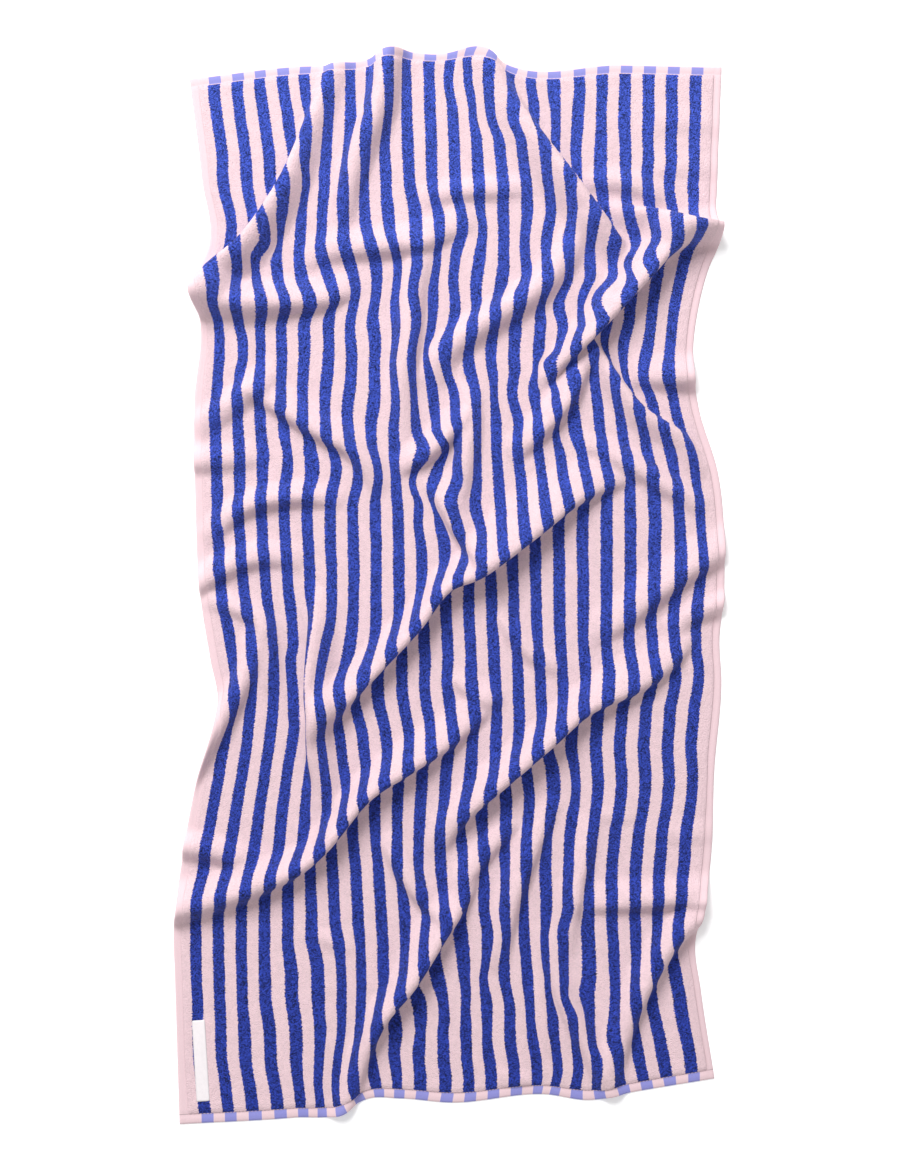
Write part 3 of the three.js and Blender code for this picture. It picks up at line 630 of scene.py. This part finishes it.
def settle_cloth(cloth, relief, rounds, smoothing):
    """Settles the cloth between its edges, with momentum so that slack travels far."""
    along, across = (size - 1 for size in cloth.shape[1:])
    width, height = CUT_WIDTH / across, CUT_LENGTH / along
    every, low, high = slice(None), slice(0, -1), slice(1, None)
    threads = (
        ((every, low), (every, high), width),
        ((low, every), (high, every), height),
        ((low, low), (high, high), math.hypot(width, height)),
        ((low, high), (high, low), math.hypot(width, height)),
    )
    before = cloth.copy()
    for turn in range(rounds):
        late = turn >= rounds - LATE_ROUNDS
        momentum = LATE_MOMENTUM if late else MOMENTUM * min(1, turn / EARLY_ROUNDS)
        move = thread_pull(cloth, relief, threads) + momentum * (cloth - before)
        before = cloth
        cloth = cloth + move
        inner = cloth[:, 1:-1, 1:-1]
        around = cloth[:, 1:-1, :-2] + cloth[:, 1:-1, 2:] + cloth[:, :-2, 1:-1] + cloth[:, 2:, 1:-1]
        cloth[:, 1:-1, 1:-1] = inner + smoothing * (around / 4 - inner)
        hold_edges(cloth)
    return cloth


def settled_cloth(relief):
    """Cloth grid after all the settling, x and y."""
    cloth = None
    for level in SETTLING:
        if cloth is None:
            cloth = spread_cloth(level["across"], level["along"])
        else:
            cloth = refine_cloth(cloth)
        cloth = settle_cloth(cloth, relief, level["rounds"], level["smoothing"])
    return cloth


def swayed_cloth(cloth):
    """The cloth with the pushes of its soft creases. Its rim stays on the outline."""
    x, y = cloth
    push = np.zeros_like(x)
    for (start_x, start_y), (end_x, end_y), amount, reach in SWAYS:
        run_x, run_y = end_x - start_x, end_y - start_y
        t = ((x - start_x) * run_x + (y - start_y) * run_y) / (run_x**2 + run_y**2)
        t = np.clip(t, 0, 1)
        distance = np.hypot(x - start_x - t * run_x, y - start_y - t * run_y)
        push += amount * (1 - np.minimum(distance / reach, 1) ** 2) ** 2
    across = np.linspace(0, CUT_WIDTH, x.shape[1])
    push *= np.clip(np.minimum(across, CUT_WIDTH - across) / SIDE_HOLD, 0, 1)
    along = np.linspace(0, CUT_LENGTH, len(x))[:, None]
    for hem, from_end in ((BOTTOM_HEM, along), (TOP_HEM, CUT_LENGTH - along)):
        slide = edge_value(hem, x + push, 0) - edge_value(hem, x, 0)
        y = y + slide * np.clip(1 - from_end / END_HOLD, 0, 1)
    return np.stack([x + push, y])


def grid_lines(length):
    """Distances of the sheet's grid lines along one side of the cloth."""
    inner_length = length - 2 * HEM_LINES[-1]
    inner = np.linspace(HEM_LINES[-1], length - HEM_LINES[-1], round(inner_length / CELL) + 1)
    near = np.array(HEM_LINES[:-1])
    return np.concatenate([near, inner, length - near[::-1]])


def between_lines(grid, places):
    """Smooth values between the rows of a grid. places are in rows."""
    padded = np.concatenate([2 * grid[:1] - grid[1:2], grid, 2 * grid[-1:] - grid[-2:-1]])
    k = np.clip(np.floor(places).astype(int), 0, len(grid) - 2)
    t = (places - k).reshape(-1, *[1] * (grid.ndim - 1))
    a, b, c, d = (padded[k + i] for i in range(4))
    square = (2 * a - 5 * b + 4 * c - d) * t**2
    cube = (3 * b - a - 3 * c + d) * t**3
    return 0.5 * (2 * b + (c - a) * t + square + cube)


def hem_thickness(lines, section):
    """Thickness of the cloth on each grid line by its distance from the nearer edge."""
    distance = np.minimum(lines, lines[-1] - lines)
    return np.interp(distance, *np.array(section).T)


def unit(vectors):
    return vectors / np.linalg.norm(vectors, axis=-1, keepdims=True)


class LaidCloth:
    """The laid towel as grids of points and normals in millimetres, on lines across and along it."""

    def __init__(self):
        relief = folded_relief()
        cloth = swayed_cloth(settled_cloth(relief))
        self.across = grid_lines(CUT_WIDTH)
        self.along = grid_lines(CUT_LENGTH)
        rows = between_lines(cloth.transpose(1, 2, 0), self.along / CUT_LENGTH * (cloth.shape[1] - 1))
        fine = between_lines(rows.transpose(1, 0, 2), self.across / CUT_WIDTH * (cloth.shape[2] - 1))
        x, y = fine.transpose(2, 1, 0)
        middle = cloth_points(relief, x, y).transpose(1, 2, 0)
        self.normal = unit(np.cross(np.gradient(middle, axis=1), np.gradient(middle, axis=0)))
        thickness = np.minimum(
            hem_thickness(self.across, SIDE_HEM_SECTION)[None, :],
            hem_thickness(self.along, END_HEM_SECTION)[:, None],
        )
        self.under = middle - self.normal * THICKNESS / 2
        self.top = self.under + self.normal * thickness[:, :, None]

    def locate(self, across, along):
        """Points on the top of the cloth and their normals, at distances across and along it."""
        i = np.clip(np.searchsorted(self.across, across) - 1, 0, len(self.across) - 2)
        j = np.clip(np.searchsorted(self.along, along) - 1, 0, len(self.along) - 2)
        a = ((across - self.across[i]) / (self.across[i + 1] - self.across[i]))[..., None]
        b = ((along - self.along[j]) / (self.along[j + 1] - self.along[j]))[..., None]
        found = []
        for grid in (self.top, self.normal):
            low = grid[j, i] * (1 - a) + grid[j, i + 1] * a
            high = grid[j + 1, i] * (1 - a) + grid[j + 1, i + 1] * a
            found.append(low * (1 - b) + high * b)
        return found[0], unit(found[1])


label_low, label_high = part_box("label")
label_middle = (label_low + label_high) / 2
FRAME_SHIFT = np.array([
    label_middle.x / MM - LABEL_CENTRE[0],
    label_middle.y / MM - LABEL_CENTRE[1],
    0,
])


def in_frame(points):
    """Millimetres of the fold table to metres of the frame."""
    return (np.asarray(points) + FRAME_SHIFT) * MM


def finish_mesh(bm, name, material):
    """Object with the mesh, smooth and facing out, riding on the towel's body."""
    bmesh.ops.recalc_face_normals(bm, faces=bm.faces)
    for face in bm.faces:
        face.smooth = True
    mesh = bpy.data.meshes.new(name)
    bm.to_mesh(mesh)
    bm.free()
    mesh.materials.append(material)
    piece = bpy.data.objects.new(name, mesh)
    bpy.context.collection.objects.link(piece)
    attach(piece, "root")
    return piece


def closed_sheet(bm, columns, rows):
    """Fills bm with a flat box of grid faces, 1 thick, with one row of points half way up its rim."""
    bmesh.ops.create_grid(bm, x_segments=columns - 1, y_segments=rows - 1, size=1)
    raised = bmesh.ops.extrude_face_region(bm, geom=bm.faces[:], use_keep_orig=True)["geom"]
    top = [item for item in raised if isinstance(item, bmesh.types.BMVert)]
    bmesh.ops.translate(bm, verts=top, vec=(0, 0, 1))
    uprights = [edge for edge in bm.edges if edge.verts[0].co.z != edge.verts[1].co.z]
    bmesh.ops.subdivide_edges(bm, edges=uprights, cuts=1)


def towel_piece(laid, material):
    """The towel: a grid, thickened to a closed sheet, with a rounded rim, laid on the folds."""
    columns, rows = len(laid.across), len(laid.along)
    bm = bmesh.new()
    closed_sheet(bm, columns, rows)
    cloth_map = bm.loops.layers.uv.new("cloth")
    for vert in bm.verts:
        column = round((vert.co.x + 1) / 2 * (columns - 1))
        row = round((vert.co.y + 1) / 2 * (rows - 1))
        for loop in vert.link_loops:
            loop[cloth_map].uv = (laid.across[column] * MM, laid.along[row] * MM)
        under, over = laid.under[row, column], laid.top[row, column]
        point = under + (over - under) * vert.co.z
        if 0 < vert.co.z < 1:
            inner = laid.under[min(max(row, 1), rows - 2), min(max(column, 1), columns - 2)]
            point += unit(under - inner) * np.linalg.norm(over - under) / 2 * RIM_BULGE
        vert.co = in_frame(point)
    return finish_mesh(bm, "striped_terry", material)


def stitch_row(laid, across, along):
    """Centres, directions and normals of the stitches from one place on the cloth to another."""
    start = np.array([across[0], along[0]], float)
    end = np.array([across[1], along[1]], float)
    count = int(np.linalg.norm(end - start) / STITCH_PITCH)
    share = (np.arange(count) + 0.5)[:, None] / count
    places = start + (end - start) * share
    reach = (end - start) / np.linalg.norm(end - start) * STITCH_LENGTH / 2
    front, _ = laid.locate(*(places + reach).T)
    back, _ = laid.locate(*(places - reach).T)
    centre, normal = laid.locate(*places.T)
    return centre, unit(front - back), normal


def stitches_piece(rows, name, material):
    """Stitches in rows, joined into one mesh: copies of one small thread loop."""
    bm = bmesh.new()
    bmesh.ops.create_uvsphere(bm, u_segments=STITCH_SIDES, v_segments=STITCH_SIDES, radius=0.5)
    shape = np.array([vert.co[:] for vert in bm.verts])
    bm.verts.index_update()
    faces = [[vert.index for vert in face.verts] for face in bm.faces]
    bm.free()
    centre, travel, normal = (np.concatenate(parts) for parts in zip(*rows))
    beside = unit(np.cross(normal, travel))
    points = (
        centre[:, None]
        + shape[:, 2][None, :, None] * STITCH_LENGTH * travel[:, None]
        + shape[:, 0][None, :, None] * THREAD * beside[:, None]
        + shape[:, 1][None, :, None] * THREAD * normal[:, None]
    )
    count = len(shape)
    mesh = bpy.data.meshes.new(name)
    all_faces = [[index + k * count for index in face] for k in range(len(centre)) for face in faces]
    mesh.from_pydata(in_frame(points.reshape(-1, 3)).tolist(), [], all_faces)
    bm = bmesh.new()
    bm.from_mesh(mesh)
    bpy.data.meshes.remove(mesh)
    return finish_mesh(bm, name, material)


def label_piece(material):
    """The bare woven label: a soft tape sewn down at its edges, a little crowned between them."""
    bm = bmesh.new()
    closed_sheet(bm, LABEL_CELLS[0] + 1, LABEL_CELLS[1] + 1)
    cloth_map = bm.loops.layers.uv.new("cloth")
    for vert in bm.verts:
        s, t, level = vert.co
        for loop in vert.link_loops:
            loop[cloth_map].uv = (s * LABEL_WIDTH / 2 * MM, t * LABEL_LENGTH / 2 * MM)
        x = s * LABEL_WIDTH / 2
        y = t * LABEL_LENGTH / 2
        over_x = max(abs(x) - LABEL_WIDTH / 2 + LABEL_ROUND, 0)
        over_y = max(abs(y) - LABEL_LENGTH / 2 + LABEL_ROUND, 0)
        over = math.hypot(over_x, over_y)
        cut = max(over - LABEL_ROUND, 0) / max(over, LABEL_ROUND)
        x -= math.copysign(over_x * cut, x)
        y -= math.copysign(over_y * cut, y)
        wave = 1 - LABEL_UNEVEN + LABEL_UNEVEN * math.sin(LABEL_WAVE[0] * t + LABEL_WAVE[1])
        flat_x, flat_y = LABEL_FLATNESS
        crown = LABEL_CROWN * (1 - s**flat_x) * (1 - t**flat_y) * wave
        vert.co = in_frame([
            LABEL_CENTRE[0] + x * math.cos(LABEL_TURN) - y * math.sin(LABEL_TURN),
            LABEL_CENTRE[1] + x * math.sin(LABEL_TURN) + y * math.cos(LABEL_TURN),
            THICKNESS - LABEL_SINK + crown + LABEL_TAPE * level,
        ])
    return finish_mesh(bm, "woven_label", material)


class Nodes:
    """Short names for the nodes of one material."""

    def __init__(self, name):
        self.material = bpy.data.materials.new(name)
        self.material.use_nodes = True
        self.tree = self.material.node_tree
        self.shader = self.tree.nodes["Principled BSDF"]

    def add(self, kind, **settings):
        made = self.tree.nodes.new(kind)
        for key, value in settings.items():
            setattr(made, key, value)
        return made

    def link(self, value, socket):
        if isinstance(value, bpy.types.NodeSocket):
            self.tree.links.new(value, socket)
        else:
            socket.default_value = value

    def math(self, operation, *values):
        made = self.add("ShaderNodeMath", operation=operation)
        for value, socket in zip(values, made.inputs):
            self.link(value, socket)
        return made.outputs[0]

    def ramp(self, value, low, high, start=0.0, end=1.0):
        """Value between low and high turned smoothly into start to end, and held outside them."""
        made = self.add("ShaderNodeMapRange", interpolation_type="SMOOTHSTEP")
        for given, socket in zip((value, low, high, start, end), made.inputs):
            self.link(given, socket)
        return made.outputs[0]

    def past(self, value, place, softness):
        """0 before a place and 1 past it. The place and the softness are in millimetres."""
        return self.ramp(value, (place - softness) * MM, (place + softness) * MM)

    def blend(self, share, first, second):
        """First value where the share is 0, second where it is 1."""
        made = self.add("ShaderNodeMix", data_type="FLOAT")
        for value, socket in ((share, made.inputs[0]), (first, made.inputs[2]), (second, made.inputs[3])):
            self.link(value, socket)
        return made.outputs[0]

    def sum(self, *terms):
        """Sum of numbers and of pairs, a value and how much of it."""
        total = 0.0
        for term in terms:
            if isinstance(term, tuple):
                term = self.math("MULTIPLY", *term)
            total = self.math("ADD", total, term)
        return total

    def built_up(self, amounts, parts):
        """Sum of a plain part and of named parts, each by its amount."""
        return self.sum(amounts["plain"], *((part, amounts[name]) for name, part in parts.items()))

    def mix(self, share, first, second):
        """First colour where the share is 0, second where it is 1."""
        made = self.add("ShaderNodeMix", data_type="RGBA")
        self.link(share, made.inputs[0])
        for value, socket in ((first, made.inputs[6]), (second, made.inputs[7])):
            self.link((*value, 1) if isinstance(value, tuple) else value, socket)
        return made.outputs[2]

    def tint(self, colour, brightness):
        """A colour made brighter or darker."""
        made = self.add("ShaderNodeVectorMath", operation="SCALE")
        self.link(colour, made.inputs[0])
        self.link(brightness, made.inputs["Scale"])
        return made.outputs[0]

    def cloth_place(self):
        """Distances across and along the cloth in metres, and both as a vector."""
        place = self.add("ShaderNodeUVMap", uv_map="cloth").outputs[0]
        parts = self.add("ShaderNodeSeparateXYZ")
        self.link(place, parts.inputs[0])
        return parts.outputs[0], parts.outputs[1], place

    def noise(self, place, size, detail=2.0):
        """Cloudy pattern from 0 to 1, of about that size in millimetres."""
        made = self.add("ShaderNodeTexNoise", noise_dimensions="2D")
        self.link(place, made.inputs["Vector"])
        made.inputs["Scale"].default_value = 1 / (size * MM)
        made.inputs["Detail"].default_value = detail
        return made.outputs["Fac"]

    def loops(self, place, size):
        """Rounded spots of that size in millimetres: distance from each one's middle, and its shade."""
        made = self.add("ShaderNodeTexVoronoi", voronoi_dimensions="2D")
        self.link(place, made.inputs["Vector"])
        made.inputs["Scale"].default_value = 1 / (size * MM)
        shade = self.add("ShaderNodeSeparateColor")
        self.link(made.outputs["Color"], shade.inputs[0])
        return made.outputs["Distance"], shade.outputs[0]

    def weave(self, u, v, pitch):
        """Plain weave from -1 to 1: threads crossing at that pitch in millimetres."""
        turn = 2 * math.pi / (pitch * MM)
        across = self.math("SINE", self.math("MULTIPLY", u, turn))
        along = self.math("SINE", self.math("MULTIPLY", v, turn))
        return self.math("MULTIPLY", across, along)

    def bump(self, height, distance, strength=1.0):
        made = self.add("ShaderNodeBump")
        made.inputs["Strength"].default_value = strength
        made.inputs["Distance"].default_value = distance * MM
        self.link(height, made.inputs["Height"])
        self.link(made.outputs[0], self.shader.inputs["Normal"])

    def finish(self, colour, roughness, sheen=0.0, sheen_roughness=0.5, specular=0.3):
        self.link(colour, self.shader.inputs["Base Color"])
        self.link(roughness, self.shader.inputs["Roughness"])
        self.shader.inputs["Sheen Weight"].default_value = sheen
        self.shader.inputs["Sheen Roughness"].default_value = sheen_roughness
        self.shader.inputs["Specular IOR Level"].default_value = specular
        return self.material


def stripe_share(nodes, across, softness):
    """1 in a blue stripe and 0 between them. across is the distance from the left edge in metres."""
    pitch = STRIPE_PITCH * MM
    count = nodes.math("DIVIDE", nodes.math("SUBTRACT", across, FIRST_BLUE * MM), pitch)
    part = nodes.math("SUBTRACT", nodes.math("FRACT", nodes.math("ADD", count, 0.5)), 0.5)
    from_middle = nodes.math("MULTIPLY", nodes.math("ABSOLUTE", part), pitch)
    half = BLUE_WIDTH / 2 * MM
    share = nodes.ramp(from_middle, half - softness * MM, half + softness * MM, 1.0, 0.0)
    first = nodes.math("GREATER_THAN", count, -0.5)
    last = nodes.math("LESS_THAN", count, STRIPES - 0.5)
    return nodes.math("MULTIPLY", share, nodes.math("MULTIPLY", first, last))


def terry_material():
    """Looped pile with blue stripes, and flat-woven hems with paler blocks in line with them."""
    nodes = Nodes("terry")
    u, v, place = nodes.cloth_place()
    width, length = CUT_WIDTH * MM, CUT_LENGTH * MM
    from_side = nodes.math("MINIMUM", u, nodes.math("SUBTRACT", width, u))
    from_end = nodes.math("MINIMUM", v, nodes.math("SUBTRACT", length, v))
    side_hem = nodes.math("SUBTRACT", 1.0, nodes.past(from_side, SIDE_HEM, SIDE_HEM_BLEND))
    end_hem = nodes.math("SUBTRACT", 1.0, nodes.past(from_end, END_HEM, END_HEM_BLEND))
    hem = nodes.math("MAXIMUM", side_hem, end_hem)
    lower = nodes.math("LESS_THAN", v, length / 2)
    upper = nodes.math("SUBTRACT", 1.0, lower)

    fine = nodes.noise(place, WOBBLE_SIZE, detail=1.0)
    slow = nodes.noise(place, WANDER_SIZE, detail=1.0)
    wobble = nodes.sum((fine, EDGE_WOBBLE * MM), (slow, STRIPE_WANDER * MM))
    wobble = nodes.math("SUBTRACT", wobble, (EDGE_WOBBLE + STRIPE_WANDER) / 2 * MM)
    pile_blue = stripe_share(nodes, nodes.math("ADD", u, wobble), PILE_EDGE)
    shift = nodes.blend(lower, TOP_HEM_SHIFT * MM, BOTTOM_HEM_SHIFT * MM)
    hem_blue = stripe_share(nodes, nodes.math("SUBTRACT", u, shift), HEM_EDGE)
    seam = nodes.past(from_end, SEAM_START, HEM_LINE_BLEND)
    block = nodes.past(from_end, BLOCK_START, HEM_LINE_BLEND)
    block = nodes.math("MULTIPLY", block, nodes.math("SUBTRACT", 1.0, seam))
    hem_blue = nodes.math("MULTIPLY", hem_blue, nodes.blend(lower, block, 1.0))
    hem_blue = nodes.math("MULTIPLY", hem_blue, end_hem)

    gaps, loops = nodes.loops(place, LOOP_SIZE)
    patches = nodes.noise(place, PATCH_SIZE, detail=3.0)
    # The gaps between the loops darken the pile's colour: painted shade in its hollows, besides their real
    # relief
    pile_parts = {"loops": loops, "gaps": gaps, "patches": patches}
    # The pink takes painted shade towards the upper hem
    pink_bright = nodes.sum(nodes.built_up(PINK_BRIGHT, pile_parts), (v, PINK_PAINTED_SHADE_ALONG))
    blue_bright = nodes.built_up(BLUE_BRIGHT, pile_parts)
    # Painted shade and light: the blue is mixed darker towards the lower hem and lighter towards the upper
    # hem
    blue = nodes.mix(nodes.math("DIVIDE", v, length), BLUE_LOW_PAINTED_SHADE, BLUE_HIGH_PAINTED_LIGHT)
    pile = nodes.mix(pile_blue, nodes.tint(PINK, pink_bright), nodes.tint(blue, blue_bright))

    woven = nodes.weave(u, v, HEM_WEAVE)
    seam = nodes.math("MULTIPLY", seam, end_hem)
    # Painted shadow along the bottom seam and painted highlight along the top seam
    painted_seam_shadow = nodes.math("MULTIPLY", seam, lower)
    painted_seam_highlight = nodes.math("MULTIPLY", seam, upper)
    hem_bright = nodes.built_up(HEM_BRIGHT, {"weave": woven, "painted_seam_shadow": painted_seam_shadow, "painted_seam_highlight": painted_seam_highlight})
    flat = nodes.tint(nodes.mix(hem_blue, PINK_HEM, CHAMBRAY), hem_bright)

    tufts = nodes.noise(place, TUFT_SIZE)
    pile_height = nodes.built_up(PILE_RELIEF, {"tufts": tufts, "gaps": gaps, "patches": patches})
    hem_height = nodes.built_up(HEM_RELIEF, {"weave": woven})
    nodes.bump(nodes.blend(hem, pile_height, hem_height), RELIEF_DEPTH, RELIEF_STRENGTH)
    return nodes.finish(nodes.mix(hem, pile, flat), **TERRY_SURFACE)


def thread_material():
    """Sewing thread of the hems, a little darker than the pink and twisted."""
    nodes = Nodes("hem_thread")
    place = nodes.add("ShaderNodeTexCoord").outputs["Object"]
    twist = nodes.noise(place, THREAD_TWIST, detail=1.0)
    bright = nodes.built_up(THREAD_BRIGHT, {"twist": twist})
    nodes.bump(twist, *THREAD_RELIEF)
    return nodes.finish(nodes.tint(PINK_THREAD, bright), **THREAD_SURFACE)


def tape_material():
    """White woven tape with fine ribs across it and a denser selvedge along its edges."""
    nodes = Nodes("label_tape")
    u, v, place = nodes.cloth_place()
    ribs = nodes.weave(u, v, TAPE_RIBS)
    patches = nodes.noise(place, TAPE_PATCHES)
    start, end = SELVEDGE
    selvedge = nodes.ramp(nodes.math("ABSOLUTE", u), start * MM, end * MM)
    bright = nodes.built_up(TAPE_BRIGHT, {"ribs": ribs, "selvedge": selvedge, "patches": patches})
    nodes.bump(ribs, *TAPE_RELIEF)
    return nodes.finish(nodes.tint(TAPE_WHITE, bright), **TAPE_SURFACE)


def make_towel():
    laid = LaidCloth()
    towel = towel_piece(laid, terry_material())
    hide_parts("towel")
    thread = thread_material()
    left, right = SIDE_SEAM, CUT_WIDTH - SIDE_SEAM
    low, high = END_SEAM, CUT_LENGTH - END_SEAM
    side_rows = [stitch_row(laid, (x, x), (low, high)) for x in (left, right)]
    end_rows = [stitch_row(laid, (left, right), (y, y)) for y in (low, high)]
    side_stitches = stitches_piece(side_rows, "side_hem_stitches", thread)
    end_stitches = stitches_piece(end_rows, "end_hem_stitches", thread)
    label = label_piece(tape_material())
    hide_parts("label")


def make_camera():
    data = bpy.data.cameras.new("camera")
    data.lens = CAMERA_LENS
    camera = bpy.data.objects.new("camera", data)
    target = Vector(in_frame([0, 0, 0]))
    back = Vector((0, -math.sin(CAMERA_TILT), math.cos(CAMERA_TILT)))
    camera.location = target + back * CAMERA_DISTANCE
    camera.rotation_euler = (CAMERA_TILT, 0, 0)
    bpy.context.collection.objects.link(camera)
    bpy.context.scene.camera = camera


def make_light(name, place, size, power):
    """Soft square light that faces the middle of the towel."""
    data = bpy.data.lights.new(name, "AREA")
    data.shape = "SQUARE"
    data.size = size
    data.energy = power
    light = bpy.data.objects.new(name, data)
    light.location = place
    light.rotation_euler = (-Vector(place)).to_track_quat("-Z", "Y").to_euler()
    bpy.context.collection.objects.link(light)


def make_stage():
    """Plain white floor, soft daylight all round and one large light beyond the top of the towel."""
    nodes = Nodes("floor")
    place = nodes.add("ShaderNodeTexCoord").outputs["Object"]
    mottle = nodes.noise(place, MOTTLE_SIZE)
    bright = nodes.sum(1 - MOTTLE / 2, (mottle, MOTTLE))
    nodes.shader.inputs["Emission Color"].default_value = (1, 1, 1, 1)
    nodes.shader.inputs["Emission Strength"].default_value = FLOOR_GLOW
    material = nodes.finish(nodes.tint(FLOOR_WHITE, bright), **FLOOR_SURFACE)
    bm = bmesh.new()
    bmesh.ops.create_grid(bm, x_segments=1, y_segments=1, size=FLOOR_HALF)
    mesh = bpy.data.meshes.new("floor")
    bm.to_mesh(mesh)
    bm.free()
    mesh.materials.append(material)
    floor = bpy.data.objects.new("floor", mesh)
    bpy.context.collection.objects.link(floor)
    world = bpy.data.worlds.new("daylight")
    world.use_nodes = True
    backdrop = world.node_tree.nodes["Background"]
    backdrop.inputs["Color"].default_value = (1, 1, 1, 1)
    backdrop.inputs["Strength"].default_value = DAYLIGHT
    bpy.context.scene.world = world
    make_light("key", KEY_PLACE, KEY_SIZE, KEY_POWER)
    bpy.context.scene.view_settings.view_transform = "Standard"


make_camera()
make_stage()
make_towel()
